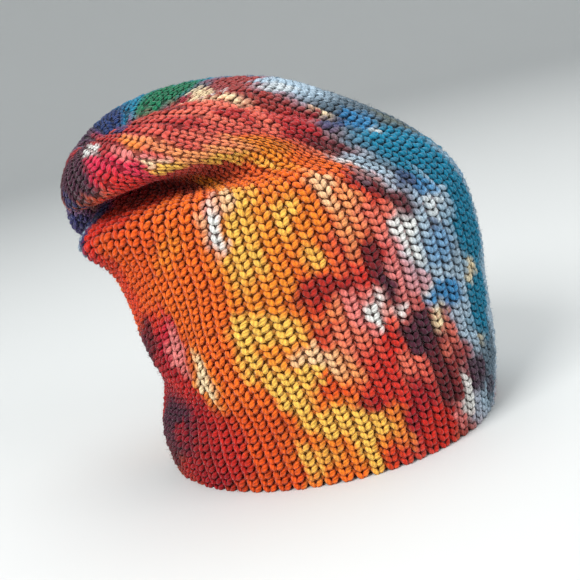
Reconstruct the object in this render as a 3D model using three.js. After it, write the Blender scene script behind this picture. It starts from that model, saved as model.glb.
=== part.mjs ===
// A slouchy beanie, knitted as one ribbed tube and gathered at the crown, standing on its rim.
// The top has flopped over to the left: it hangs over a crease on the near left side.
// X runs left to right, Y from the near side to the far side, Z up, in millimetres.
import * as THREE from "three";

// Driving sizes
const HALF_WIDTH = 100;
const HALF_DEPTH = 96;
const HEIGHT = 220;
const WALL = 5;
const RIB_COUNT = 72;
const RIB_RELIEF = 1.8;

// The ribs flatten out over the last share of the knit's length, where they are gathered
const GATHER_SHARE = 0.12;

// Bends of the folds are rounded off over this share of the knit's length, to either side
const ROUNDING = 0.032;
const ROUNDING_WEIGHTS = table(
  ["step", "weight"],
  [
    [-1, 1],
    [-0.5, 2],
    [0, 3],
    [0.5, 2],
    [1, 1],
  ],
);

// Sections of the knit from rim to crown, each a loop through four points.
// "along" is the share of the knit's length; x is in half widths, y in half depths, z in heights.
const SECTIONS = table(
  ["along", "leftX", "leftZ", "rightX", "rightZ", "nearX", "nearY", "nearZ", "farX", "farY", "farZ"],
  [
    [0.0, -0.98, 0.0, 0.99, 0.0, 0.08, -1.0, 0.0, 0.0, 0.92, 0.0],
    [0.1, -0.98, 0.145, 1.06, 0.135, 0.05, -1.02, 0.155, 0.0, 0.96, 0.145],
    [0.22, -0.95, 0.325, 1.09, 0.31, -0.03, -1.01, 0.35, 0.0, 0.98, 0.325],
    [0.34, -1.0, 0.5, 1.12, 0.49, -0.08, -0.98, 0.565, -0.02, 0.96, 0.52],
    [0.46, -1.1, 0.68, 1.06, 0.645, -0.18, -0.92, 0.765, -0.08, 0.91, 0.705],
    [0.58, -1.16, 0.795, 0.83, 0.775, -0.34, -0.81, 0.875, -0.23, 0.83, 0.865],
    [0.7, -1.17, 0.875, 0.43, 0.905, -0.52, -0.67, 0.945, -0.44, 0.71, 0.975],
    [0.8, -1.12, 0.925, 0.06, 0.99, -0.66, -0.48, 0.97, -0.66, 0.52, 1.02],
    [0.9, -1.01, 0.915, -0.36, 0.975, -0.74, -0.23, 0.925, -0.78, 0.28, 0.985],
    [1.0, -0.8, 0.865, -0.8, 0.865, -0.8, 0.0, 0.865, -0.8, 0.0, 0.865],
  ],
);

// Folds pushed out of the smooth knit. "around" is in degrees from the right side by the far side.
// "out", "drop" and "open" are in half widths: outwards, downwards, and the fold's two sides apart.
// "slant" moves a fold along the knit for each 100 degrees.
const FOLDS = table(
  ["name", "along", "halfAlong", "around", "halfAround", "out", "drop", "open", "slant"],
  [
    ["crease", 0.535, 0.08, 238, 78, -0.37, -0.01, 0.19, 0],
    ["lip", 0.65, 0.1, 245, 80, 0.12, 0.16, 0.16, 0],
    ["droop", 0.6, 0.13, 142, 48, 0.27, 0.3, 0.06, 0],
    ["lobe", 0.465, 0.06, 200, 42, 0.14, -0.02, 0, 0],
    ["valley", 0.66, 0.09, 318, 28, -0.07, 0, 0, -0.35],
    ["flare", 0.06, 0.1, 205, 60, 0.05, 0, 0, 0],
    ["ridge", 0.22, 0.07, 225, 50, 0.06, 0, 0, -0.18],
    ["hollow", 0.15, 0.07, 200, 50, -0.04, 0, 0, -0.1],
  ],
);

// Places where the ribs are pulled sideways round the knit, by "turn" degrees
const DRIFTS = table(
  ["name", "along", "halfAlong", "around", "halfAround", "turn", "slant"],
  [
    ["leaning at the hollow", 0.26, 0.1, 246, 24, -5, 0],
    ["into the crease", 0.5, 0.14, 240, 48, 8, 0],
    ["beside the lip", 0.56, 0.16, 318, 30, -13, 0],
    ["along the lip to the left", 0.82, 0.27, 270, 110, -36, 0],
  ],
);

// Rows of facets: how many lie between one share of the knit's length and the next
const ROW_BANDS = table(
  ["upTo", "rows"],
  [
    [0.4, 6],
    [0.68, 14],
    [1.0, 7],
  ],
);
const OUTER_FACETS_PER_RIB = 2;
const INNER_FACETS_PER_RIB = 1;

// Half the step used to measure slopes: a share of the length, and degrees
const SLOPE_ALONG = 0.0005;
const SLOPE_AROUND = 0.05;

function table(columns, rows) {
  return rows.map((row) => Object.fromEntries(columns.map((column, i) => [column, row[i]])));
}

// 1 at the middle of a fold, falling smoothly to 0 at its edge
function swell(distance, half) {
  const t = Math.min(Math.abs(distance) / half, 1);
  return (1 - t * t) ** 2;
}

// The signed angle from one direction to another, from -180 to 180 degrees
function angleFrom(start, end) {
  return THREE.MathUtils.euclideanModulo(end - start + 180, 360) - 180;
}

// How far a place lies from the line of a fold or drift, along the knit and around it
function offsets(row, along, around) {
  const turned = angleFrom(row.around, around);
  return { turned, shifted: along - row.along - (row.slant * turned) / 100 };
}

// How strongly a fold or drift acts at a place
function strength(row, along, around) {
  const { turned, shifted } = offsets(row, along, around);
  return swell(shifted, row.halfAlong) * swell(turned, row.halfAround);
}

// One column of the sections table at a share of the length, by a smooth curve through its rows
function sectionValue(column, along) {
  const last = SECTIONS.length - 1;
  const next = SECTIONS.findIndex((row) => row.along > along);
  const k = next < 0 ? last - 1 : next - 1;
  const slope = (i) => {
    const rise = (j) => (SECTIONS[j + 1][column] - SECTIONS[j][column]) / gap(j);
    if (i === 0) return rise(0);
    if (i === last) return rise(last - 1);
    return (rise(i - 1) * gap(i) + rise(i) * gap(i - 1)) / (gap(i - 1) + gap(i));
  };
  const gap = (j) => SECTIONS[j + 1].along - SECTIONS[j].along;
  const t = (along - SECTIONS[k].along) / gap(k);
  return (
    (2 * t ** 3 - 3 * t ** 2 + 1) * SECTIONS[k][column] +
    (t ** 3 - 2 * t ** 2 + t) * gap(k) * slope(k) +
    (3 * t ** 2 - 2 * t ** 3) * SECTIONS[k + 1][column] +
    (t ** 3 - t ** 2) * gap(k) * slope(k + 1)
  );
}

// A point of the smooth knit: the loop of its section through the left, right, near and far points
function smoothPoint(along, around) {
  const at = (column) => sectionValue(column, along);
  const left = new THREE.Vector3(at("leftX") * HALF_WIDTH, 0, at("leftZ") * HEIGHT);
  const right = new THREE.Vector3(at("rightX") * HALF_WIDTH, 0, at("rightZ") * HEIGHT);
  const near = new THREE.Vector3(at("nearX") * HALF_WIDTH, at("nearY") * HALF_DEPTH, at("nearZ") * HEIGHT);
  const far = new THREE.Vector3(at("farX") * HALF_WIDTH, at("farY") * HALF_DEPTH, at("farZ") * HEIGHT);
  const angle = THREE.MathUtils.degToRad(around);
  const middleX = left.clone().add(right).multiplyScalar(0.5);
  const middleY = near.clone().add(far).multiplyScalar(0.5);
  return middleX
    .clone()
    .add(middleY)
    .multiplyScalar(0.5)
    .addScaledVector(right.sub(left), Math.cos(angle) / 2)
    .addScaledVector(far.sub(near), Math.sin(angle) / 2)
    .addScaledVector(middleX.sub(middleY), Math.cos(2 * angle) / 2);
}

// The outward direction of a surface given as a function of along and around
function outward(surface, along, around) {
  const middle = THREE.MathUtils.clamp(along, SLOPE_ALONG, 1 - SLOPE_ALONG);
  const up = surface(middle + SLOPE_ALONG, around).sub(surface(middle - SLOPE_ALONG, around));
  const round = surface(middle, around + SLOPE_AROUND).sub(surface(middle, around - SLOPE_AROUND));
  return round.cross(up).normalize();
}

// A point of the knit with its folds, still with sharp bends
function foldedPoint(along, around) {
  const point = smoothPoint(along, around);
  const out = outward(smoothPoint, along, around);
  for (const fold of FOLDS) {
    const push = strength(fold, along, around) * HALF_WIDTH;
    if (push === 0) continue;
    const lift = (fold.open * offsets(fold, along, around).shifted) / fold.halfAlong;
    point.addScaledVector(out, push * fold.out);
    point.z += push * (lift - fold.drop);
  }
  return point;
}

// The middle of the wall, where a rib that starts at "around" on the rim has got to at "along"
function wallMiddle(along, around) {
  let here = around;
  for (const drift of DRIFTS) here += drift.turn * strength(drift, along, around);
  const reach = Math.min(along, 1 - along, ROUNDING);
  const sum = new THREE.Vector3();
  let weights = 0;
  for (const { step, weight } of ROUNDING_WEIGHTS) {
    sum.addScaledVector(foldedPoint(along + step * reach, here), weight);
    weights += weight;
  }
  return sum.divideScalar(weights);
}

// A point on one face of the wall. The rim is cut flat and level.
function facePoint(along, around, distance) {
  const out = outward(wallMiddle, along, around);
  const point = wallMiddle(along, around);
  if (along > 0) return point.addScaledVector(out, distance);
  return point.addScaledVector(out.setZ(0).normalize(), distance).setZ(0);
}

// How far a facet line stands from the wall's middle on the outside: ribs, then the grooves between
function reliefAt(along, line) {
  const fade = Math.min((1 - along) / GATHER_SHARE, 1);
  return ((line % 2 === 0 ? 1 : -1) * fade * RIB_RELIEF) / 2;
}

function rowShares() {
  const shares = [0];
  for (const band of ROW_BANDS) {
    const start = shares.at(-1);
    for (let row = 1; row <= band.rows; row += 1) {
      shares.push(start + ((band.upTo - start) * row) / band.rows);
    }
  }
  return shares;
}

// The knit as one closed body: the outer face, the inner face, and the rim between them
function knitGeometry() {
  const shares = rowShares();
  const rings = shares.length - 1;
  const points = [];
  const faces = [];

  // Adds one face of the wall and returns the number of its first point; its crown point comes last
  function addSkin(lines, distanceAt, flip) {
    const first = points.length;
    const addFace = (a, b, c) => faces.push(flip ? [a, c, b] : [a, b, c]);
    for (const along of shares.slice(0, rings)) {
      for (let line = 0; line < lines; line += 1) {
        points.push(facePoint(along, (360 * line) / lines, distanceAt(along, line)));
      }
    }
    const crown = points.length;
    const crownOut = new THREE.Vector3();
    for (let line = 0; line < lines; line += 1) {
      crownOut.add(outward(wallMiddle, 1, (360 * line) / lines));
    }
    points.push(wallMiddle(1, 0).addScaledVector(crownOut.normalize(), distanceAt(1, 0)));
    for (let ring = 0; ring < rings; ring += 1) {
      for (let line = 0; line < lines; line += 1) {
        const here = first + ring * lines + line;
        const beside = first + ring * lines + ((line + 1) % lines);
        if (ring === rings - 1) {
          addFace(here, beside, crown);
        } else {
          addFace(here, beside, beside + lines);
          addFace(here, beside + lines, here + lines);
        }
      }
    }
    return first;
  }

  const outerLines = RIB_COUNT * OUTER_FACETS_PER_RIB;
  const innerLines = RIB_COUNT * INNER_FACETS_PER_RIB;
  const outer = addSkin(outerLines, (along, line) => WALL / 2 + reliefAt(along, line), false);
  const inner = addSkin(innerLines, () => -WALL / 2, true);

  // The flat rim: each inner facet faces a whole number of outer ones
  const perInner = outerLines / innerLines;
  for (let line = 0; line < innerLines; line += 1) {
    const here = inner + line;
    const beside = inner + ((line + 1) % innerLines);
    for (let part = 0; part < perInner; part += 1) {
      const from = outer + line * perInner + part;
      const to = outer + ((line * perInner + part + 1) % outerLines);
      faces.push([here, to, from]);
    }
    faces.push([here, beside, outer + (((line + 1) * perInner) % outerLines)]);
  }

  const geometry = new THREE.BufferGeometry().setFromPoints(points);
  geometry.setIndex(faces.flat());

  // The origin is under the middle of the whole hat, on the plane of the rim
  const middle = new THREE.Box3().setFromPoints(points).getCenter(new THREE.Vector3());
  geometry.translate(-middle.x, -middle.y, 0);
  geometry.computeVertexNormals();
  return geometry;
}

const knit = new THREE.Mesh(
  knitGeometry(),
  new THREE.MeshStandardMaterial({ color: 0xd9622b, roughness: 0.95, metalness: 0 }),
);
knit.name = "knit_body";

const beanie = new THREE.Group();
beanie.name = "tie_dye_beanie";
beanie.add(knit);

export default beanie;
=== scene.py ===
"""A tie-dye slouch beanie in thick one-by-one rib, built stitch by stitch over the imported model."""

import math

import bpy
import numpy as np
from mathutils import Matrix, Vector


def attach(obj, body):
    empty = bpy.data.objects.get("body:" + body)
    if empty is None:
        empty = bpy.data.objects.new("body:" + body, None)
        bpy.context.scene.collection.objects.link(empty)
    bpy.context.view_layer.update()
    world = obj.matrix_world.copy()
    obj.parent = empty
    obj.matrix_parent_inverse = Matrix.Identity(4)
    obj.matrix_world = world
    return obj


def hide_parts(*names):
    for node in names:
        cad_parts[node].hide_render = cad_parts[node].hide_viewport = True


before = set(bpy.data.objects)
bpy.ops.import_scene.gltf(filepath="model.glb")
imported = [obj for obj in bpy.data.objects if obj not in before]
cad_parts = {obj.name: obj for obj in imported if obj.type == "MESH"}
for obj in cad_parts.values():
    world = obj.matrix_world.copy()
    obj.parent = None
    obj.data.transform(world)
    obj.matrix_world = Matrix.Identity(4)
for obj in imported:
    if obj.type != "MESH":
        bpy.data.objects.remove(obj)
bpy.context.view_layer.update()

# ---------------------------------------------------------------- the shape of the knit, in metres
HALF_WIDTH = 0.100
HALF_DEPTH = 0.096
HEIGHT = 0.220
WALL = 0.005
RIB_RELIEF = 0.0018
RIBS = 72
ROUNDING = 0.032

# along (0 rim, 1 crown) | left x z | right x z | near x y z | far x y z
# x as shares of HALF_WIDTH, y of HALF_DEPTH, z of HEIGHT
SECTIONS = np.array([
    [0.00, -0.98, 0.000, 0.99, 0.000, 0.08, -1.00, 0.000, 0.00, 0.92, 0.000],
    [0.10, -0.98, 0.145, 1.06, 0.135, 0.05, -1.02, 0.155, 0.00, 0.96, 0.145],
    [0.22, -0.95, 0.325, 1.09, 0.310, -0.03, -1.01, 0.350, 0.00, 0.98, 0.325],
    [0.34, -1.00, 0.500, 1.12, 0.490, -0.08, -0.98, 0.565, -0.02, 0.96, 0.520],
    [0.46, -1.10, 0.680, 1.06, 0.645, -0.18, -0.92, 0.765, -0.08, 0.91, 0.705],
    [0.58, -1.16, 0.795, 0.83, 0.775, -0.34, -0.81, 0.875, -0.23, 0.83, 0.865],
    [0.70, -1.17, 0.875, 0.43, 0.905, -0.52, -0.67, 0.945, -0.44, 0.71, 0.975],
    [0.80, -1.12, 0.925, 0.06, 0.990, -0.66, -0.48, 0.970, -0.66, 0.52, 1.020],
    [0.90, -1.01, 0.915, -0.36, 0.975, -0.74, -0.23, 0.925, -0.78, 0.28, 0.985],
    [1.00, -0.80, 0.865, -0.80, 0.865, -0.80, 0.00, 0.865, -0.80, 0.00, 0.865],
])

# name, along, half along, around, half around, out, drop, open, slant (lengths as shares of HALF_WIDTH)
FOLDS = [
    ("crease", 0.535, 0.08, 238, 78, -0.37, -0.01, 0.19, 0),
    ("lip", 0.65, 0.10, 245, 80, 0.12, 0.16, 0.16, 0),
    ("droop", 0.60, 0.13, 142, 48, 0.27, 0.30, 0.06, 0),
    ("lobe", 0.465, 0.06, 200, 42, 0.14, -0.02, 0, 0),
    ("valley", 0.66, 0.09, 318, 28, -0.07, 0, 0, -0.35),
    ("flare", 0.06, 0.10, 205, 60, 0.05, 0, 0, 0),
    ("ridge", 0.22, 0.07, 225, 50, 0.06, 0, 0, -0.18),
    ("hollow", 0.15, 0.07, 200, 50, -0.04, 0, 0, -0.1),
]

# along, half along, around, half around, turn in degrees, slant: where the ribs lean sideways
DRIFTS = [
    (0.26, 0.10, 246, 24, -5, 0),
    (0.50, 0.14, 240, 48, 8, 0),
    (0.56, 0.16, 318, 30, -13, 0),
    (0.82, 0.27, 270, 110, -36, 0),
]


def swell(distance, half):
    return (1 - np.clip(np.abs(distance) / half, 0, 1) ** 2) ** 2


def section_values(along):
    """The ten columns of the table at each share of the length, on a smooth curve through its rows."""
    stops, rows = SECTIONS[:, 0], SECTIONS[:, 1:]
    gap = np.diff(stops)
    rise = np.diff(rows, axis=0) / gap[:, None]
    slope = np.empty_like(rows)
    slope[0], slope[-1] = rise[0], rise[-1]
    slope[1:-1] = (rise[:-1] * gap[1:, None] + rise[1:] * gap[:-1, None]) / (gap[:-1] + gap[1:])[:, None]
    flat = along.reshape(-1)
    k = np.clip(np.searchsorted(stops, flat, side="right") - 1, 0, len(gap) - 1)
    g = gap[k][:, None]
    t = (flat[:, None] - stops[k][:, None]) / g
    value = (
        (2 * t**3 - 3 * t**2 + 1) * rows[k]
        + (t**3 - 2 * t**2 + t) * g * slope[k]
        + (3 * t**2 - 2 * t**3) * rows[k + 1]
        + (t**3 - t**2) * g * slope[k + 1]
    )
    return value.reshape(along.shape + (rows.shape[1],))


def loop_point(values, angle):
    """The loop through a section's left, right, near and far points."""
    zero = np.zeros_like(values[..., 0])
    left = np.stack([values[..., 0] * HALF_WIDTH, zero, values[..., 1] * HEIGHT], -1)
    right = np.stack([values[..., 2] * HALF_WIDTH, zero, values[..., 3] * HEIGHT], -1)
    size = np.array([HALF_WIDTH, HALF_DEPTH, HEIGHT])
    near, far = values[..., 4:7] * size, values[..., 7:10] * size
    cos, sin, cos2 = np.cos(angle)[..., None], np.sin(angle)[..., None], np.cos(2 * angle)[..., None]
    middle_x, middle_y = (left + right) / 2, (near + far) / 2
    return (
        (middle_x + middle_y) / 2
        + (right - left) / 2 * cos
        + (far - near) / 2 * sin
        + (middle_x - middle_y) / 2 * cos2
    )


def folded_point(along, around):
    step_along, step_around = 0.0005, math.radians(0.05)
    angle = np.radians(around)
    inside = np.clip(along, step_along, 1 - step_along)
    point = loop_point(section_values(along), angle)
    up = loop_point(section_values(inside + step_along), angle)
    up -= loop_point(section_values(inside - step_along), angle)
    values = section_values(inside)
    round_ = loop_point(values, angle + step_around) - loop_point(values, angle - step_around)
    out = np.cross(round_, up)
    out /= np.maximum(np.linalg.norm(out, axis=-1, keepdims=True), 1e-15)
    for _, row_along, half_along, row_around, half_around, push, drop, opening, slant in FOLDS:
        turned = (around - row_around + 180) % 360 - 180
        shifted = along - row_along - slant * turned / 100
        weight = swell(shifted, half_along) * swell(turned, half_around) * HALF_WIDTH
        point = point + out * (weight * push)[..., None]
        point[..., 2] += weight * (opening * shifted / half_along - drop)
    return point


def wall_middle(along, around):
    here = around.copy()
    for row_along, half_along, row_around, half_around, turn, slant in DRIFTS:
        turned = (around - row_around + 180) % 360 - 180
        shifted = along - row_along - slant * turned / 100
        here += turn * swell(shifted, half_along) * swell(turned, half_around)
    reach = np.minimum(np.minimum(along, 1 - along), ROUNDING)
    total = 0
    for step, weight in ((-1, 1), (-0.5, 2), (0, 3), (0.5, 2), (1, 1)):
        total = total + weight * folded_point(along + step * reach, here)
    return total / 9


# ---------------------------------------------------------------- the knit as ribs and rows
ROWS = 78
PER_RIB = 8
PER_ROW = 5
NOMINAL_PITCH = 0.0084
NOMINAL_ROW = 0.00435
ALONG_STOPS = 481  # places along each line where its length is measured
MOST_SHEAR = 1.2  # how many rows a rib may slant in its own width
CROWD = (0.45, 1.08)  # how low and how high crowded and open ribs stand, as shares of the nominal


def knit_grid():
    """Points and outward normals on a fine grid: PER_RIB lines a rib round, PER_ROW a row up.
    Rows are equally long on each rib, as in a knit."""
    around = np.arange(RIBS * PER_RIB) * 360.0 / (RIBS * PER_RIB)
    along = np.linspace(0, 1, ALONG_STOPS)
    a, r = np.meshgrid(along, around)
    raw = wall_middle(a, r)
    length = np.concatenate(
        [
            np.zeros((len(around), 1)),
            np.cumsum(np.linalg.norm(np.diff(raw, axis=1), axis=-1), axis=1),
        ],
        axis=1,
    )
    share = length / length[:, -1:]
    count = ROWS * PER_ROW + 1
    wanted = np.linspace(0, 1, count)
    grid = np.empty((len(around), count, 3))
    place = np.empty((len(around), count))
    for i in range(len(around)):
        place[i] = np.interp(wanted, share[i], along)
        for axis in range(3):
            grid[i, :, axis] = np.interp(wanted, share[i], raw[i, :, axis])
    side = np.roll(grid, -1, 0) - np.roll(grid, 1, 0)
    up = np.gradient(grid, axis=1)
    out = np.cross(side, up)
    out /= np.maximum(np.linalg.norm(out, axis=-1, keepdims=True), 1e-15)
    out[:, -1] = out[:, -3].mean(0) / np.linalg.norm(out[:, -3].mean(0))
    out[:, -2] = out[:, -1]
    outer = grid + out * (WALL + RIB_RELIEF) / 2
    flat = outer.reshape(-1, 3)
    middle = (flat.min(0) + flat.max(0)) / 2
    grid[..., :2] -= middle[:2]
    side, up = side / 2 * PER_RIB, up * PER_ROW
    climb = np.maximum(np.linalg.norm(up, axis=-1), 1e-9)
    pitch = np.linalg.norm(np.cross(side, up), axis=-1) / climb
    shear = np.clip((side * up).sum(-1) / climb**2, -MOST_SHEAR, MOST_SHEAR)
    return grid, out, pitch, shear


GRID, OUT, PITCH, SHEAR = knit_grid()
GRID_U, GRID_V = GRID.shape[:2]


def sample(table, rib, row):
    """A grid table at fractional rib and row numbers."""
    u = np.mod(rib * PER_RIB, GRID_U)
    v = np.clip(row * PER_ROW, 0, GRID_V - 1.001)
    i, j = np.floor(u).astype(int) % GRID_U, np.floor(v).astype(int)
    fu, fv = u - np.floor(u), v - j
    if table.ndim == 3:
        fu, fv = fu[..., None], fv[..., None]
    i2 = (i + 1) % GRID_U
    return (
        table[i, j] * (1 - fu) * (1 - fv)
        + table[i2, j] * fu * (1 - fv)
        + table[i, j + 1] * (1 - fu) * fv
        + table[i2, j + 1] * fu * fv
    )


def on_knit(rib, row, height):
    """Points over the wall's middle, at heights in metres; crowded ribs stand lower."""
    crowd = np.clip(sample(PITCH, rib, row) / NOMINAL_PITCH, *CROWD)
    point = sample(GRID, rib, row) + sample(OUT, rib, row) * (height * crowd)[..., None]
    below = np.minimum(row, 0) * NOMINAL_ROW
    point[..., 2] = np.maximum(point[..., 2] + below, 0.0)
    return point


# ---------------------------------------------------------------- dye
PALETTE = {
    "orange": (0.88, 0.150, 0.010),
    "deep_orange": (0.74, 0.062, 0.006),
    "amber": (0.90, 0.30, 0.022),
    "yellow": (0.93, 0.55, 0.09),
    "cream": (0.88, 0.70, 0.42),
    "peach": (0.92, 0.36, 0.12),
    "salmon": (0.80, 0.17, 0.10),
    "pink": (0.78, 0.22, 0.20),
    "red": (0.62, 0.020, 0.010),
    "crimson": (0.38, 0.006, 0.012),
    "rose": (0.62, 0.012, 0.060),
    "coral": (0.62, 0.085, 0.060),
    "brick": (0.30, 0.030, 0.025),
    "maroon": (0.11, 0.008, 0.014),
    "plum": (0.055, 0.012, 0.030),
    "white": (0.80, 0.80, 0.76),
    "pale_blue": (0.38, 0.50, 0.60),
    "sky": (0.030, 0.23, 0.48),
    "teal": (0.004, 0.190, 0.320),
    "navy": (0.010, 0.030, 0.125),
    "slate": (0.075, 0.120, 0.160),
    "green": (0.003, 0.150, 0.065),
    "olive": (0.115, 0.125, 0.070),
}

# The far side, which the photograph doesn't show, in plain bands of the same dyes from the right edge
# round to the left one: the middle rib of the band, half its ribs, its ground and the dyes of its streaks.
FAR_BANDS = [
    (3.5, 5.5, "teal", ("teal", "sky", "pale_blue", "slate")),
    (10.5, 4.0, "sky", ("teal", "pale_blue", "white", "navy")),
    (15.5, 3.5, "green", ("green", "teal", "olive", "yellow")),
    (20.5, 3.5, "plum", ("plum", "navy", "maroon", "pink")),
    (25.5, 3.5, "crimson", ("crimson", "red", "maroon", "white")),
    (30.5, 3.5, "coral", ("red", "salmon", "orange", "peach")),
    (35.5, 3.5, "orange", ("amber", "yellow", "deep_orange", "red")),
]
STREAKS_A_BAND = 22


def far_side():
    """Blots for the far side: each band's ground, then its streaks at seeded places."""
    chance = np.random.default_rng(19)
    blots = [(ground, rib, 27, half + 1, 46, 0, 1.0) for rib, half, ground, _ in FAR_BANDS]
    for rib, half, _, dyes in FAR_BANDS:
        for k in range(STREAKS_A_BAND):
            blots.append((
                dyes[k % len(dyes)], rib + half * chance.uniform(-1, 1), chance.uniform(0, 58),
                chance.uniform(0.5, 2.2), chance.uniform(2, 7), 0, chance.uniform(0.6, 1),
            ))
    return blots


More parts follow.
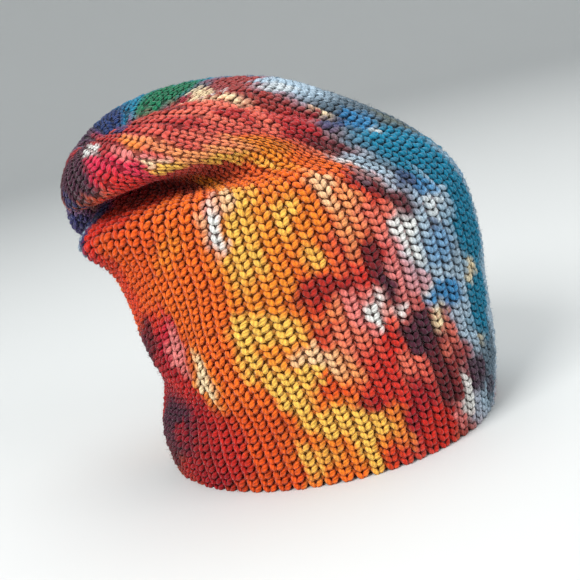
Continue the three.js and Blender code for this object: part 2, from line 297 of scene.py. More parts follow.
# Charted in the knit's own terms: the dye, where it was poured (rib, row), how far it spread
# (half its ribs, half its rows), how many ribs it leans over for each row up, and how strong it took.
# Ribs: 0 right, 18 far, 36 left, 54 near. Later rows lie over earlier ones.
BLOTS = [
    # the broad first layer, by region
    ("pale_blue", 66, 20, 5.0, 26, 0, 1.0),
    ("coral", 59.2, 14, 2.9, 22, 0, 0.95),
    ("brick", 62.2, 9, 1.8, 12, 0, 0.9),
    ("slate", 70, 52, 8, 16, 0, 1.0),
    ("teal", 91, 64, 22, 13, 0, 1.0),
    ("coral", 58, 57, 9, 13, 0, 1.0),
    ("brick", 71, 62, 9, 6, 0, 0.9),
    ("plum", 46, 66, 9, 8, 0, 0.95),
    ("crimson", 46, 74, 60, 6, 0, 0.9),
    ("navy", 35, 49, 4.5, 7, 0, 0.95),
    # the left edge and the lower left
    ("deep_orange", 44.0, 35, 2.6, 6, 0, 0.55),
    ("red", 40.6, 34, 1.8, 8, 0, 0.8),
    ("red", 43.2, 22, 2.4, 6.5, 0, 0.9),
    ("crimson", 40, 17, 6.6, 9.5, 0, 1.0),
    ("red", 44, 14.5, 2.6, 3.5, 0, 0.5),
    ("rose", 44.5, 23.5, 1.2, 3, 0, 0.5),
    ("pink", 45.1, 20.6, 0.8, 3.0, -0.12, 0.95),
    ("maroon", 41.8, 23.5, 1.4, 3.5, 0, 0.8),
    ("plum", 39.0, 22, 2.2, 5, 0, 0.8),
    ("deep_orange", 48, 5, 3.6, 7, 0, 0.7),
    ("crimson", 44.3, 6.5, 3.0, 7.5, 0, 0.95),
    ("red", 46.4, 7, 1.3, 5, 0, 0.7),
    ("plum", 39.8, 8.6, 3.4, 6.2, 0.12, 0.95),
    ("crimson", 41.6, 8.2, 0.9, 2.0, 0, 0.7),
    ("maroon", 38, 3, 3, 3.5, 0, 0.8),
    ("crimson", 42.5, 1.5, 2.6, 2.6, 0, 0.9),
    ("amber", 46.9, 16.6, 1.0, 3.8, 0.05, 0.8),
    ("cream", 46.95, 16.7, 0.6, 2.8, 0.05, 0.95),
    ("amber", 47.5, 33.5, 1.4, 1.8, 0, 0.45),
    # the yellow and orange of the near side
    ("amber", 52.5, 30, 2.2, 9, 0, 0.75),
    ("yellow", 52.8, 33.5, 0.85, 4.8, 0, 0.95),
    ("yellow", 51.7, 29.5, 0.6, 3.6, 0, 0.8),
    ("amber", 55.0, 34.5, 2.2, 4.5, 0, 0.6),
    ("yellow", 55.1, 34.2, 0.7, 2.3, 0.15, 0.9),
    ("yellow", 55.7, 28.8, 0.6, 2.2, 0, 0.8),
    ("cream", 52.0, 37.6, 0.55, 1.7, 0.1, 0.75),
    ("yellow", 53.6, 37.2, 0.7, 1.6, 0, 0.6),
    ("cream", 50.0, 36.0, 0.35, 1.5, 0, 0.5),
    ("white", 50.85, 34.6, 0.55, 3.1, 0, 1.0),
    ("amber", 53.2, 17.5, 3.2, 4.6, 0, 0.8),
    ("yellow", 52.2, 21.1, 2.0, 2.3, 0, 0.95),
    ("yellow", 50.7, 18.8, 0.65, 2.6, 0.1, 0.95),
    ("cream", 54.5, 16.4, 1.5, 2.2, -0.1, 0.7),
    ("peach", 55.9, 17.5, 1.3, 5.5, 0, 0.8),
    ("yellow", 53.5, 14.2, 1.0, 1.6, 0, 0.95),
    ("yellow", 51.7, 12.6, 0.95, 4.3, -0.03, 1.0),
    ("deep_orange", 54.2, 12.1, 1.3, 1.3, 0, 0.75),
    ("amber", 53.5, 6, 3.6, 4.5, 0, 0.5),
    ("yellow", 53.2, 8.4, 1.7, 1.7, -0.2, 0.95),
    ("yellow", 54.8, 5.0, 0.65, 5.0, 0, 0.95),
    ("yellow", 51.2, 2.6, 0.6, 2.6, 0, 0.85),
    ("yellow", 52.3, 4.0, 0.5, 1.8, 0, 0.6),
    ("yellow", 56.0, 6.2, 0.8, 2.2, 0, 0.85),
    ("deep_orange", 50.5, 7.0, 1.0, 2.0, 0, 0.5),
    # red, rose and maroon to the right of the middle
    ("crimson", 55.8, 24.4, 2.0, 1.8, 0.1, 0.9),
    ("red", 58.9, 27.6, 1.7, 4.5, 0, 0.9),
    ("red", 54.9, 19.6, 0.95, 1.5, 0, 0.85),
    ("red", 55.4, 22.5, 0.9, 1.2, 0, 0.6),
    ("peach", 58.15, 34.5, 0.6, 6.0, -0.02, 0.95),
    ("cream", 58.1, 36.5, 0.4, 2.5, 0, 0.6),
    ("peach", 59.3, 32.5, 0.55, 4.0, 0, 0.9),
    ("red", 60.4, 35.5, 0.9, 3.0, 0, 0.8),
    ("salmon", 57.5, 18.3, 1.8, 5.2, 0, 0.9),
    ("pink", 57.6, 20.6, 0.9, 3.2, 0, 0.85),
    ("pink", 60.4, 24.5, 0.75, 6.5, 0, 0.95),
    ("salmon", 59.9, 30.5, 0.8, 2.5, 0, 0.8),
    ("red", 57.3, 11.5, 1.5, 4.5, 0, 0.9),
    ("red", 58.6, 15.3, 0.8, 3.4, 0, 0.95),
    ("crimson", 55.9, 9.0, 1.1, 1.4, 0, 0.9),
    ("salmon", 58.9, 11.3, 0.55, 2.6, 0, 0.9),
    ("crimson", 59.0, 6.8, 1.3, 3.2, 0, 0.95),
    ("red", 59.6, 2.6, 1.8, 2.8, 0, 0.95),
    ("red", 56.6, 1.0, 1.1, 1.6, 0, 0.8),
    ("amber", 57.2, 6.0, 0.6, 3.0, 0, 0.6),
    ("white", 58.3, 20.5, 0.5, 2.5, 0, 1.0),
    ("white", 59.4, 19.6, 0.4, 0.9, 0, 0.8),
    ("plum", 59.35, 22.7, 0.65, 2.3, 0, 0.95),
    ("maroon", 59.0, 26.2, 0.45, 2.4, 0, 0.85),
    ("plum", 60.5, 15.0, 1.15, 3.7, -0.06, 0.95),
    ("maroon", 61.2, 9.0, 0.85, 5.0, 0, 0.92),
    ("pink", 61.7, 3.0, 0.55, 2.2, 0, 0.85),
    # white and blue at the right
    ("pale_blue", 63.2, 25.0, 2.4, 7.0, 0, 1.0),
    ("white", 61.5, 27.5, 0.75, 4.0, 0, 0.9),
    ("white", 62.2, 19.0, 0.7, 1.2, 0, 0.8),
    ("white", 64.4, 29.0, 0.7, 2.0, 0, 0.6),
    ("pink", 61.4, 21.0, 0.7, 1.5, 0, 0.5),
    ("sky", 63.6, 24.3, 1.1, 2.2, 0, 0.6),
    ("navy", 63.7, 26.8, 0.45, 0.9, 0, 0.6),
    ("sky", 63.3, 18.2, 1.5, 2.0, 0, 0.95),
    ("slate", 64.8, 22.0, 0.6, 1.4, 0, 0.6),
    ("cream", 62.3, 15.6, 0.6, 1.9, 0, 0.95),
    ("salmon", 62.6, 12.6, 0.9, 2.0, 0, 0.55),
    ("brick", 62.5, 9.0, 0.8, 2.2, 0, 0.7),
    ("pale_blue", 64.0, 13.0, 0.8, 3.0, 0, 0.8),
    ("pale_blue", 65.0, 10.0, 0.8, 2.5, 0, 0.8),
    ("teal", 66.9, 14.5, 1.9, 4.6, 0, 1.0),
    ("teal", 67.4, 26.0, 2.3, 10.0, 0, 1.0),
    ("teal", 66.5, 36.5, 2.6, 7.5, 0, 1.0),
    ("pale_blue", 65.3, 30.5, 0.55, 4.0, 0, 0.85),
    ("pale_blue", 65.1, 20.5, 0.6, 2.0, 0, 0.6),
    ("cream", 66.3, 19.6, 0.6, 1.6, 0, 0.85),
    ("cream", 65.9, 11.0, 0.45, 0.9, 0, 0.7),
    ("slate", 66.6, 6.0, 1.7, 5.0, 0, 0.9),
    ("white", 62.8, 4.8, 0.55, 3.2, 0, 0.95),
    ("pale_blue", 63.6, 3.0, 0.5, 2.0, 0, 0.7),
    ("plum", 64.4, 6.2, 1.1, 2.3, 0, 0.92),
    ("plum", 66.2, 4.0, 0.8, 1.2, 0, 0.6),
    ("navy", 63.6, 33.3, 0.9, 2.6, 0, 0.85),
    ("sky", 64.4, 31.6, 0.8, 1.6, 0, 0.75),
    ("pale_blue", 62.8, 37.8, 1.0, 4.2, 0.05, 1.0),
    ("white", 62.2, 39.5, 0.5, 2.0, 0.15, 0.6),
    ("slate", 63.7, 37.5, 0.4, 2.5, 0, 0.7),
    ("maroon", 61.5, 33.2, 0.8, 4.2, -0.32, 0.95),
    ("slate", 61.2, 37.0, 0.7, 1.6, 0, 0.6),
    # the recess and the underside of the flap; the brick blot here is painted shade in the recess under
    # the lip
    ("red", 43.5, 45, 6, 5.5, 0, 0.9),
    ("brick", 48, 46.5, 7, 3.2, 0, 0.75),
    ("amber", 51.8, 42.5, 0.8, 4.0, 0, 0.8),
    ("crimson", 45, 52, 8, 5, 0, 0.95),
    ("navy", 38.3, 46, 2.4, 7, 0, 0.95),
    ("pale_blue", 39.2, 45, 0.45, 4, 0, 0.7),
    ("red", 41.3, 41.0, 1.6, 2.2, 0, 0.9),
    # the flap and the top
    ("coral", 60.5, 56.5, 5.2, 8.5, 0, 0.92),
    ("orange", 58.8, 46, 2.6, 5.0, 0, 0.9),
    ("peach", 57.3, 49.8, 1.8, 2.6, 0, 0.9),
    ("yellow", 56.1, 47.4, 1.1, 2.6, -0.2, 0.9),
    ("amber", 57.6, 44.0, 1.1, 3.4, 0, 0.85),
    ("yellow", 57.2, 43.5, 0.5, 2.2, 0, 0.7),
    ("amber", 59.2, 46.5, 1.5, 2.8, 0, 0.7),
    ("yellow", 54.1, 52.0, 1.0, 1.9, -0.2, 0.9),
    ("peach", 55.6, 52.5, 1.0, 2.4, 0, 0.8),
    ("rose", 52.2, 58.3, 2.1, 4.6, 0, 0.9),
    ("red", 51.0, 56.0, 1.6, 2.6, 0, 0.9),
    ("pink", 54.6, 57.6, 0.65, 3.6, 0, 0.95),
    ("cream", 54.3, 55.2, 0.55, 1.3, 0, 0.9),
    ("peach", 56.2, 58.0, 0.5, 4.6, 0, 0.6),
    ("amber", 55.6, 60.0, 0.5, 2.0, 0, 0.6),
    ("salmon", 58.1, 53.0, 0.7, 3.5, 0, 0.6),
    ("crimson", 59.2, 59.0, 0.9, 4.5, 0, 0.7),
    ("salmon", 61.2, 57.5, 0.8, 5.0, 0, 0.7),
    ("crimson", 62.3, 54.5, 0.9, 3.0, 0, 0.8),
    ("salmon", 64.3, 57.5, 1.1, 4.5, 0, 0.85),
    ("salmon", 62.5, 51.0, 0.8, 2.0, 0, 0.6),
    ("crimson", 65.3, 51.5, 1.4, 3.4, 0, 0.8),
    ("crimson", 63.2, 47.5, 1.1, 3.0, 0, 0.9),
    ("maroon", 63.2, 43.8, 0.9, 2.6, 0, 0.9),
    ("brick", 67.2, 57.0, 1.8, 5.5, 0, 0.95),
    ("cream", 65.4, 60.3, 0.5, 2.6, 0, 0.9),
    ("navy", 66.2, 46.0, 1.7, 2.0, 0, 0.75),
    ("sky", 67.4, 44.6, 1.3, 2.4, 0, 0.8),
    ("white", 66.9, 42.0, 0.7, 0.8, 0, 0.85),
    ("cream", 67.1, 50.3, 0.45, 1.3, 0, 0.8),
    ("slate", 71.5, 43.0, 2.9, 6.5, 0, 1.0),
    ("olive", 70.5, 40.5, 1.6, 2.6, 0, 0.6),
    ("pale_blue", 71.2, 53.6, 3.6, 5.6, 0, 1.0),
    ("white", 69.2, 55.5, 1.2, 2.6, 0, 0.5),
    ("slate", 71.5, 49.5, 2.4, 1.0, 0, 0.5),
    ("brick", 73.5, 60.8, 6.2, 2.4, 0, 0.9),
    ("cream", 74.0, 65.6, 4.4, 1.5, 0, 0.85),
    ("white", 68.0, 62.8, 2.2, 0.9, 0, 0.6),
    ("slate", 77.8, 64.0, 1.6, 1.0, 0, 0.6),
    ("crimson", 77.0, 68.2, 3.6, 1.6, 0, 0.9),
    ("crimson", 56.0, 63.6, 2.8, 2.6, 0, 0.85),
    ("plum", 47.6, 62.8, 3.4, 5.4, 0.1, 0.92),
    ("navy", 45.0, 60.4, 1.3, 2.0, 0, 0.65),
    ("plum", 51.8, 67.6, 2.6, 1.6, 0, 0.8),
    ("white", 53.1, 64.8, 0.95, 2.3, 0.1, 0.9),
    ("navy", 58.2, 66.2, 2.0, 1.3, 0, 0.9),
    ("brick", 61.0, 64.5, 1.8, 1.6, 0, 0.7),
    ("maroon", 62.3, 62.8, 0.5, 2.2, 0, 0.8),
    ("cream", 64.2, 63.5, 0.4, 1.5, 0, 0.8),
    ("green", 84.3, 66.2, 5.2, 4.8, 0, 1.0),
    ("teal", 91.0, 67.0, 3.0, 4.2, 0, 1.0),
    ("navy", 95.5, 67.5, 4.6, 4.6, 0, 1.0),
    ("plum", 103.5, 66.5, 4.5, 4.5, 0, 0.9),
]


RIB_WANDER = 0.5  # rows by which a blot's end jumps from rib to rib
BEND_RIBS = (0.22, 0.16)  # how far two waves bend a blot's edge sideways
BEND_ROWS = 0.5
EDGE, NARROW_EDGE = 0.24, 0.14  # how soft an edge is, and what a narrow blot adds to it
WIDE_BLOT = 2  # half ribs from which a blot counts as wide


def dye_and_painted_shade_at(rib, row):
    """The dye over the knit, with painted shade in the recess under the lip: soft blots with bent edges,
    which end at another row on each rib.
    """
    chance = np.random.default_rng(7)
    wander = chance.normal(0, RIB_WANDER, RIBS)
    lines = np.mod(np.round(rib).astype(int), RIBS)
    u = rib + BEND_RIBS[0] * np.sin(0.83 * row + 1.9 * rib + 0.4)
    u = u + BEND_RIBS[1] * np.sin(1.7 * row - 1.1 * rib)
    v = row + wander[lines] + BEND_ROWS * np.sin(1.3 * rib + 0.31 * row)
    colour = np.empty(rib.shape + (3,))
    colour[:] = PALETTE["orange"]
    for dye_and_painted_shade, at_rib, at_row, half_ribs, half_rows, lean, strong in far_side() + BLOTS:
        up = v - at_row
        across = np.mod(u - at_rib - lean * up + RIBS / 2, RIBS) - RIBS / 2
        far = np.hypot(across / half_ribs, up / half_rows)
        soft = EDGE + NARROW_EDGE / min(half_ribs, WIDE_BLOT)
        t = np.clip((1 + soft - far) / (2 * soft), 0, 1)
        mask = (t * t * (3 - 2 * t) * strong)[..., None]
        colour = colour * (1 - mask) + np.array(PALETTE[dye_and_painted_shade]) * mask
    return colour


# ---------------------------------------------------------------- stitches
rng = np.random.default_rng(41)
RIB_MIDDLE, RIB_SWELL = 1.75, 0.95  # mm: height of a yarn's middle half way, and what the rib adds
LEG_TOP, LEG_RUN, LEG_BEND = 0.385, 0.36, 1.1  # shares of a rib: where a leg starts, how far it runs
LEG_HIGH, LEG_DROP = 0.60, 1.16  # rows: how high a leg starts and how far it drops
LEG_LOW, LEG_RISE = 0.85, 1.05  # mm: how deep its ends lie, and how far its middle comes out
LEG_END_WIDE, LEG_MORE_WIDE = 0.62, 0.94  # mm: half width at the ends, and what the middle adds
LEG_END_HIGH, LEG_MORE_HIGH = 0.60, 0.80
BEAD_HALF, BEAD_LOW, BEAD_RISE = 1.6, 0.1, 0.6  # mm: half length, height of its ends, rise
BEAD_WIDE, BEAD_HIGH = 1.5, 1.1  # mm, half sizes
DYE_REACH = 0.8  # how much of a stitch's spread its dye follows
DYE_SLIP = (0.08, 0.30)  # ribs and rows by which a stitch's dye slips


def tube(centres, half_wide, half_high, sides):
    """A closed bead along centres (x mm across, y mm up, h mm out), with pole points at its ends.
    Returns vertices, quads, triangles and the place along and round it of each vertex."""
    centres = np.array(centres, float)
    tangent = np.gradient(centres, axis=0)
    tangent[:, 2] *= 0.5  # its rings lean less than it climbs
    tangent /= np.linalg.norm(tangent, axis=1, keepdims=True)
    up = np.array([0, 0, 1.0])
    across = np.cross(tangent, up)
    across /= np.linalg.norm(across, axis=1, keepdims=True)
    high = np.cross(across, tangent)
    inner = len(centres) - 2
    verts, lie = [centres[0]], [(0.0, 0.25)]
    for k in range(1, inner + 1):
        for s in range(sides):
            a = 2 * math.pi * s / sides - math.pi / 2
            verts.append(
                centres[k] + across[k] * math.cos(a) * half_wide[k] + high[k] * math.sin(a) * half_high[k]
            )
            lie.append((k / (inner + 1), s / sides))
    verts.append(centres[-1])
    lie.append((1.0, 0.25))
    quads, tris = [], []

    def ring(k, s):
        return 1 + (k - 1) * sides + s % sides

    for s in range(sides):
        tris.append((0, ring(1, s), ring(1, s + 1)))
        tris.append((len(verts) - 1, ring(inner, s + 1), ring(inner, s)))
        for k in range(1, inner):
            quads.append((ring(k, s), ring(k + 1, s), ring(k + 1, s + 1), ring(k, s + 1)))
    return np.array(verts), np.array(quads), np.array(tris), np.array(lie)


def rib_height(x):
    """How high in mm a yarn's middle lies at x, a share of the rib's width from its middle."""
    return RIB_MIDDLE + RIB_SWELL * np.cos(2 * math.pi * x)


def leg(side):
    """One leg of a V, from its outer top to its tip at the rib's middle, in mm."""
    t = np.linspace(0, 1, 6)
    x = side * (LEG_TOP - LEG_RUN * t**LEG_BEND)
    y = LEG_HIGH - LEG_DROP * t
    bulge = np.sin(math.pi * np.clip(t * 1.02, 0, 1)) ** 0.6
    height = rib_height(x) - LEG_LOW + LEG_RISE * bulge
    centres = np.stack([x * NOMINAL_PITCH * 1000, y * NOMINAL_ROW * 1000, height], 1)
    half_wide = LEG_END_WIDE + LEG_MORE_WIDE * bulge
    return tube(centres, half_wide, LEG_END_HIGH + LEG_MORE_HIGH * bulge, 8)


def bead():
    """A purl bump in the groove between two ribs."""
    t = np.linspace(-1, 1, 4)
    full = np.array([0, 1, 1, 0])
    centres = np.stack([t * BEAD_HALF, 0 * t, BEAD_LOW + BEAD_RISE * (1 - t**2)], 1)
    return tube(centres, BEAD_WIDE * full, BEAD_HIGH * full, 6)


LEG = {-1: leg(-1), 1: leg(1)}
BEAD = bead()


def lay(template, rib, row, widths, heights, tilt, extra):
    """Copies of a template over the knit, square to their own rib: the rib and row of each copy,
    how many ribs wide it is, and its random height, tilt and lift."""
    verts, quads, tris, lie = template
    n, m = len(rib), len(verts)
    x = verts[None, :, 0] / (NOMINAL_PITCH * 1000) * widths[:, None]
    y = verts[None, :, 1] / (NOMINAL_ROW * 1000)
    y = y + (tilt - sample(SHEAR, rib, row))[:, None] * x
    h = verts[None, :, 2] / 1000 * heights[:, None] + extra[:, None]
    u = rib[:, None] + x
    v = row[:, None] + y
    points = on_knit(u, v, h)
    base = (np.arange(n) * m)[:, None, None]
    # a stitch takes its dye as one, from near where it lies
    dye_rib = rib[:, None] + DYE_REACH * x + rng.normal(0, DYE_SLIP[0], n)[:, None]
    rows_up = verts[None, :, 1] / (NOMINAL_ROW * 1000)
    dye_row = row[:, None] + DYE_REACH * rows_up + rng.normal(0, DYE_SLIP[1], n)[:, None]
    return {
        "points": points.reshape(-1, 3),
        "quads": (quads[None] + base).reshape(-1, 4),
        "tris": (tris[None] + base).reshape(-1, 3),
        "rib": dye_rib.reshape(-1),
        "row": dye_row.reshape(-1),
        "lie": np.broadcast_to(lie[None], (n, m, 2)).reshape(-1, 2),
        "which": np.repeat(rng.random(n), m),
        "pooled_dye_and_shade": np.zeros(n * m),
    }


def join(parts):
    out = {}
    starts = np.cumsum([0] + [len(p["points"]) for p in parts[:-1]])
    for key in parts[0]:
        if key in ("quads", "tris"):
            out[key] = np.concatenate([p[key] + s for p, s in zip(parts, starts)])
        else:
            out[key] = np.concatenate([p[key] for p in parts])
    return out


TINT = 0.16  # how far one stitch's dye is lighter or darker than the next
# painted shade and pooled dye in the grooves between ribs
GROOVE_SHADE = np.array([0.28, 0.45, 0.45])  # what a groove takes off red, green and blue
# painted shade on the sides of a yarn
SIDE_SHADE, SIDE_FROM, SIDE_SPAN = 0.52, 0.16, 0.24  # a yarn's sides, by place round from its top


def make_object(name, data, material):
    mesh = bpy.data.meshes.new(name)
    points, quads, tris = data["points"], data["quads"], data["tris"]
    mesh.vertices.add(len(points))
    mesh.vertices.foreach_set("co", points.astype(np.float32).ravel())
    loops = np.concatenate([quads.ravel(), tris.ravel()]).astype(np.int32)
    mesh.loops.add(len(loops))
    mesh.loops.foreach_set("vertex_index", loops)
    starts = np.concatenate([np.arange(len(quads)) * 4, len(quads) * 4 + np.arange(len(tris)) * 3])
    mesh.polygons.add(len(starts))
    mesh.polygons.foreach_set("loop_start", starts.astype(np.int32))
    mesh.update(calc_edges=True)
    mesh.validate()
    colour = dye_and_painted_shade_at(data["rib"], data["row"])
    colour *= 1 + TINT * (data["which"] - 0.5)[:, None]
    # painted shade and pooled dye: the purl beads in the grooves and the backing sheets are darkened
    colour *= 1 - data["pooled_dye_and_shade"][:, None] * GROOVE_SHADE
    # painted shade: the sides of a yarn are darkened where shade falls between stitches, which draws thin
    # dark lines between them
    from_top = np.abs(data["lie"][:, 1] - 0.5)
    colour *= 1 - SIDE_SHADE * np.clip((from_top - SIDE_FROM) / SIDE_SPAN, 0, 1)[:, None]
    # the colour attribute holds the dye together with the painted shade above
    dye_and_painted_shade = mesh.color_attributes.new("dye_and_painted_shade", "FLOAT_COLOR", "POINT")
    dye_and_painted_shade.data.foreach_set(
        "color", np.concatenate([colour, np.ones((len(colour), 1))], 1).astype(np.float32).ravel()
    )
    strand = mesh.attributes.new("strand", "FLOAT_VECTOR", "POINT")
    vector = np.stack([data["lie"][:, 0], data["lie"][:, 1], data["which"]], 1)
    strand.data.foreach_set("vector", vector.astype(np.float32).ravel())
    mesh.shade_smooth()
    obj = bpy.data.objects.new(name, mesh)
    bpy.context.scene.collection.objects.link(obj)
    mesh.materials.append(material)
    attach(obj, "root")
    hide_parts("knit_body")
    return obj


# ---------------------------------------------------------------- material
PLY_TWIST, PLIES = 2.6, 3.0  # turns of the plies along one stitch, and how many plies
# the plies' streaks are painted shade in their valleys and painted light on their crests
PLY_BUMP, PLY_PAINTED_LIGHT_AND_SHADE = 0.35, 0.15  # how much the plies shape and colour the yarn
FIBRE_SCALE, BLOTCH_SCALE = 1500, 420  # per metre
BLOTCH = (0.72, 1.18)  # darkest and lightest the dye takes on single fibres


def yarn_material():
    mat = bpy.data.materials.new("tie_dye_yarn")
    mat.use_nodes = True
    tree = mat.node_tree
    nodes, links = tree.nodes, tree.links

    def feed(socket, value):
        if isinstance(value, (int, float)):
            socket.default_value = value
        else:
            links.new(value, socket)

    def maths(operation, *values):
        node = nodes.new("ShaderNodeMath")
        node.operation = operation
        for socket, value in zip(node.inputs, values):
            feed(socket, value)
        return node.outputs[0]

    def noise(scale, detail):
        node = nodes.new("ShaderNodeTexNoise")
        node.inputs["Scale"].default_value = scale
        node.inputs["Detail"].default_value = detail
        links.new(place, node.inputs["Vector"])
        return node.outputs["Fac"]

    def attribute(name):
        node = nodes.new("ShaderNodeAttribute")
        node.attribute_name = name
        return node

    shader = nodes["Principled BSDF"]
    shader.inputs["Roughness"].default_value = 0.9
    shader.inputs["Sheen Weight"].default_value = 0.18
    shader.inputs["Sheen Roughness"].default_value = 0.45
    shader.inputs["Specular IOR Level"].default_value = 0.18
    place = nodes.new("ShaderNodeTexCoord").outputs["Object"]
    split = nodes.new("ShaderNodeSeparateXYZ")
    links.new(attribute("strand").outputs["Vector"], split.inputs[0])
    # twist of the plies: a wave in the place along the yarn plus the place round it
    along = maths("MULTIPLY", split.outputs["X"], PLY_TWIST)
    turn = maths("MULTIPLY_ADD", split.outputs["Y"], PLIES, along)
    wave = maths("SINE", maths("MULTIPLY", turn, 2 * math.pi))
    bump = nodes.new("ShaderNodeBump")
    bump.inputs["Strength"].default_value = 0.8
    bump.inputs["Distance"].default_value = 0.0009
    links.new(maths("MULTIPLY_ADD", wave, PLY_BUMP, noise(FIBRE_SCALE, 3)), bump.inputs["Height"])
    links.new(bump.outputs["Normal"], shader.inputs["Normal"])
    # the dye takes unevenly on single fibres
    ramp = nodes.new("ShaderNodeMapRange")
    ramp.inputs["From Min"].default_value = 0.3
    ramp.inputs["From Max"].default_value = 0.7
    ramp.inputs["To Min"].default_value = BLOTCH[0]
    ramp.inputs["To Max"].default_value = BLOTCH[1]
    links.new(noise(BLOTCH_SCALE, 4), ramp.inputs["Value"])
    scale = nodes.new("ShaderNodeVectorMath")
    scale.operation = "SCALE"
    links.new(attribute("dye_and_painted_shade").outputs["Color"], scale.inputs[0])
    # painted shade in the ply valleys and painted light on their crests, over the uneven dye
    links.new(maths("MULTIPLY_ADD", wave, PLY_PAINTED_LIGHT_AND_SHADE, ramp.outputs[0]), scale.inputs["Scale"])
    links.new(scale.outputs[0], shader.inputs["Base Color"])
    return mat


YARN = yarn_material()


# ---------------------------------------------------------------- the pieces
LEAST_PITCH = 0.0058  # where ribs get narrower than this, two are knitted into one
MOST_MERGED = 8


def rib_levels():
    """Near the crown the ribs are knitted together: how many ribs go into one, for each row."""
    ribs = np.arange(RIBS, dtype=float)
    middle = np.arange(ROWS) + 0.5
    pitch = np.array([sample(PITCH, ribs, np.full(RIBS, r)).mean() for r in middle])
    level = np.ones(ROWS, int)
    for row in range(ROWS):
        step = level[row - 1] if row else 1
        if pitch[row] * step < LEAST_PITCH and step < MOST_MERGED:
            step *= 2
        level[row] = step
    return level


LEVELS = rib_levels()


LEG_SLIP, BEAD_SLIP = (0.012, 0.05), (0.02, 0.06)  # how far they slip, in ribs and rows
LEG_VARY, BEAD_VARY = (0.02, 0.06), 0.08  # shares of a leg's width and height, and of a bead's height
TILT_VARY, LIFT_VARY = 0.10, 0.00016  # rows per rib, metres


def stitches_of(ribs):
    """All stitches of a range of ribs, from the rim to the crown."""
    rib, row, width = [], [], []
    for r in range(ROWS):
        step = LEVELS[r]
        for i in ribs:
            if i % step == 0:
                rib.append(float(i))
                row.append(r + 0.5)
                width.append(float(step))
    rib, row, width = np.array(rib), np.array(row), np.array(width)
    n = len(rib)
    parts = []
    for side in (-1, 1):
        parts.append(
            lay(
                LEG[side],
                rib + rng.normal(0, LEG_SLIP[0], n),
                row + rng.normal(0, LEG_SLIP[1], n),
                width * (1 + rng.normal(0, LEG_VARY[0], n)),
                1 + rng.normal(0, LEG_VARY[1], n),
                rng.normal(0, TILT_VARY, n),
                rng.normal(0, LIFT_VARY, n),
            )
        )
    groove = lay(
        BEAD,
        rib + 0.5 * width + rng.normal(0, BEAD_SLIP[0], n),
        row + 0.5 + rng.normal(0, BEAD_SLIP[1], n),
        width,
        1 + rng.normal(0, BEAD_VARY, n),
        rng.normal(0, TILT_VARY, n),
        np.zeros(n),
    )
    # the purl beads take the full painted groove shade and pooled dye
    groove["pooled_dye_and_shade"][:] = 1.0
    parts.append(groove)
    return join(parts)


SECTORS = 8
RIBS_EACH = RIBS // SECTORS
for sector in range(SECTORS):
    data = stitches_of(range(sector * RIBS_EACH, (sector + 1) * RIBS_EACH))
    make_object(f"knit_ribs_{sector + 1}", data, YARN)


BACK_ROWS = 72
BACK_OUTER = (0.0012, 0.0)  # height over the wall's middle behind a rib and behind a groove
BACK_INNER = (-0.0018, -0.0026)
# painted shade and pooled dye of the two sheets, darkest on the outer one in the gaps between stitches
BACK_POOLED_DYE_AND_SHADE = (1.0, 0.3)  # shade of the outer and the inner sheet, as a share of a groove's


def backing():
    """The rest of the wall behind the stitches: an outer sheet, an inner sheet and the rim between."""
    lines = RIBS * 2
    rows = np.linspace(0.35, ROWS - 0.6, BACK_ROWS)
    on_rib = (np.arange(lines) % 2 == 0)[:, None]
    rib = np.arange(lines) / 2.0
    u, v = np.meshgrid(rib, rows, indexing="ij")
    outer = on_knit(u, v, np.where(on_rib, *BACK_OUTER) + 0 * v)
    inner = on_knit(u, v, np.where(on_rib, *BACK_INNER) + 0 * v)
    n = len(rows)
    points = np.concatenate([outer.reshape(-1, 3), inner.reshape(-1, 3)])
    i, j = np.meshgrid(np.arange(lines), np.arange(n - 1), indexing="ij")
    i, j = i.ravel(), j.ravel()
    i2 = (i + 1) % lines
    first = lines * n
    here, there = i * n + j, i2 * n + j
    quads = [
        np.stack([here, there, there + 1, here + 1], 1),
        np.stack([first + here, first + here + 1, first + there + 1, first + there], 1),
    ]
    k = np.arange(lines)
    k2 = (k + 1) % lines
    quads.append(np.stack([k * n, first + k * n, first + k2 * n, k2 * n], 1))
    top = n - 1
    quads.append(np.stack([k * n + top, k2 * n + top, first + k2 * n + top, first + k * n + top], 1))
    return {
        "points": points,
        "quads": np.concatenate(quads),
        "tris": np.zeros((0, 3), int),
        "rib": np.concatenate([u.ravel(), u.ravel()]),
        "row": np.concatenate([v.ravel(), v.ravel()]),
        # the outer sheet lies at a yarn's side, so it takes the full painted side shade and shows dark in
        # the gaps between stitches
        "lie": np.repeat([[0.0, 0.0], [0.5, 0.5]], len(points) // 2, axis=0),
        "which": np.zeros(len(points)),
        "pooled_dye_and_shade": np.repeat(BACK_POOLED_DYE_AND_SHADE, len(points) // 2),
    }


FIBRES = 24000
FIBRE_FOOT = 0.0011  # over the yarn's middle
FIBRE_TALL = (0.0008, 0.0024)
FIBRE_WIDE = (0.010, 0.020)  # ribs
FIBRE_LEAN = 0.20  # ribs
FIBRE_CURL = 1.6
BARE_ROWS = 6  # none stand on the closing rows of the crown


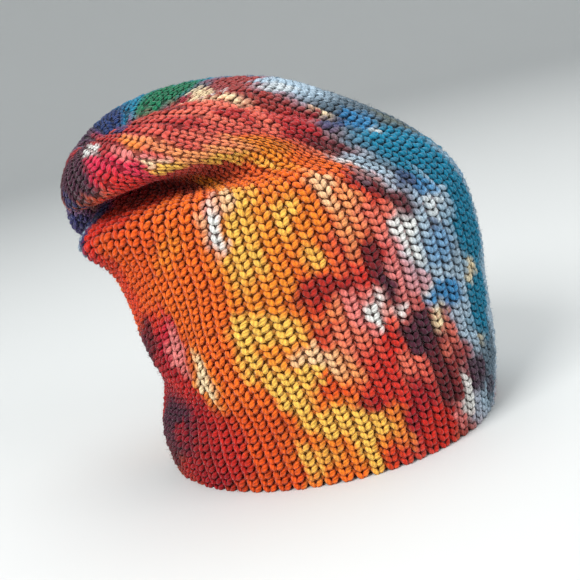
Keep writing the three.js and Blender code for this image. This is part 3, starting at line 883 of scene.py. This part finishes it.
def fuzz(count):
    """Loose fibres that stand off the yarn, each a bent strip that narrows to its tip."""
    rib = rng.random(count) * RIBS
    row = rng.random(count) * (ROWS - BARE_ROWS) + 0.3
    low = rib_height(np.mod(rib + 0.5, 1) - 0.5) / 1000 + FIBRE_FOOT
    tall = rng.uniform(*FIBRE_TALL, count)
    lean = rng.normal(0, FIBRE_LEAN, (count, 2))
    wide = rng.uniform(*FIBRE_WIDE, count)
    points, turn = [], rng.random(count) * 2 * math.pi
    for share in (0.0, 0.5, 1.0):
        u = rib + lean[:, 0] * share**FIBRE_CURL
        v = row + 2 * lean[:, 1] * share**FIBRE_CURL
        for side in (-1, 1):
            half = wide * (1 - 0.7 * share) * side / 2
            foot_u, foot_v = u + half * np.cos(turn), v + half * 2 * np.sin(turn)
            points.append(on_knit(foot_u, foot_v, low + tall * share))
    points = np.stack(points, 1)
    base = (np.arange(count) * 6)[:, None]
    quads = np.concatenate([base + np.array([[0, 1, 3, 2]]), base + np.array([[2, 3, 5, 4]])])
    flat = count * 6
    return {
        "points": points.reshape(-1, 3),
        "quads": quads,
        "tris": np.zeros((0, 3), int),
        "rib": np.repeat(rib, 6),
        "row": np.repeat(row, 6),
        "lie": np.full((flat, 2), 0.5),
        "which": np.repeat(rng.random(count), 6),
        "pooled_dye_and_shade": np.zeros(flat),
    }


make_object("knit_backing", backing(), YARN)
make_object("knit_fuzz", fuzz(FIBRES), YARN)


# ---------------------------------------------------------------- floor, light, camera
FLOOR_FLAT, FLOOR_BEND, FLOOR_TOP = 2.6, 1.4, 4.0  # radius of the flat, radius of its bend, height
FLOOR_STEPS = 96


def floor():
    """A flat disc that bends up into a wall all round."""
    rings = [(0.0, 0.0)]
    for r in np.linspace(0.2, FLOOR_FLAT, 8):
        rings.append((r, 0.0))
    for a in np.linspace(0, math.pi / 2, 13)[1:]:
        rings.append((FLOOR_FLAT + FLOOR_BEND * math.sin(a), FLOOR_BEND * (1 - math.cos(a))))
    rings.append((FLOOR_FLAT + FLOOR_BEND, FLOOR_TOP))
    steps = FLOOR_STEPS
    verts, faces = [(0, 0, 0)], []
    for r, z in rings[1:]:
        for k in range(steps):
            a = 2 * math.pi * k / steps
            verts.append((r * math.cos(a), r * math.sin(a), z))
    for k in range(steps):
        faces.append((0, 1 + k, 1 + (k + 1) % steps))
    for ring in range(len(rings) - 2):
        for k in range(steps):
            a, b = 1 + ring * steps, 1 + (ring + 1) * steps
            faces.append((a + k, b + k, b + (k + 1) % steps, a + (k + 1) % steps))
    mesh = bpy.data.meshes.new("floor")
    mesh.from_pydata(verts, [], faces)
    mesh.shade_smooth()
    obj = bpy.data.objects.new("floor", mesh)
    bpy.context.scene.collection.objects.link(obj)
    mat = bpy.data.materials.new("pale_floor")
    mat.use_nodes = True
    shader = mat.node_tree.nodes["Principled BSDF"]
    shader.inputs["Base Color"].default_value = (0.62, 0.63, 0.62, 1)
    shader.inputs["Roughness"].default_value = 0.9
    mesh.materials.append(mat)


LIT_POINT = Vector((0, 0, 0.11))


def light(name, at, size, power):
    data = bpy.data.lights.new(name, "AREA")
    data.size = size
    data.energy = power
    obj = bpy.data.objects.new(name, data)
    obj.location = at
    obj.rotation_euler = (LIT_POINT - Vector(at)).to_track_quat("-Z", "Y").to_euler()
    bpy.context.scene.collection.objects.link(obj)


ELEVATION, ROLL = math.radians(13), math.radians(14)
DISTANCE, TARGET = 0.660, Vector((0.00113, 0.00204, 0.090))
METRE_A_PIXEL, FRAME_PIXELS, SENSOR = 0.00062, 580, 36  # at the target; across the frame; mm


def camera():
    elevation, roll = ELEVATION, ROLL
    distance, target = DISTANCE, TARGET
    forward = Vector((0, math.cos(elevation), -math.sin(elevation)))
    side = Vector((1, 0, 0))
    up = Vector((0, math.sin(elevation), math.cos(elevation)))
    right = side * math.cos(roll) - up * math.sin(roll)
    top = up * math.cos(roll) + side * math.sin(roll)
    back = -forward
    data = bpy.data.cameras.new("camera")
    data.sensor_fit = "HORIZONTAL"
    data.sensor_width = SENSOR
    data.lens = SENSOR * distance / (METRE_A_PIXEL * FRAME_PIXELS)
    obj = bpy.data.objects.new("camera", data)
    place = target - forward * distance
    obj.matrix_world = Matrix((
        (right.x, top.x, back.x, place.x),
        (right.y, top.y, back.y, place.y),
        (right.z, top.z, back.z, place.z),
        (0, 0, 0, 1),
    ))
    bpy.context.scene.collection.objects.link(obj)
    bpy.context.scene.camera = obj


floor()
light("key", (-0.9, -1.1, 1.5), 0.9, 37)
light("fill", (1.3, -1.0, 0.9), 1.2, 13)
light("top", (0.2, 0.5, 1.8), 1.4, 13)
world = bpy.data.worlds.new("studio")
bpy.context.scene.world = world
world.use_nodes = True
world.node_tree.nodes["Background"].inputs["Color"].default_value = (0.9, 0.95, 1.0, 1)
world.node_tree.nodes["Background"].inputs["Strength"].default_value = 0.72
bpy.context.scene.view_settings.view_transform = "Standard"
camera()
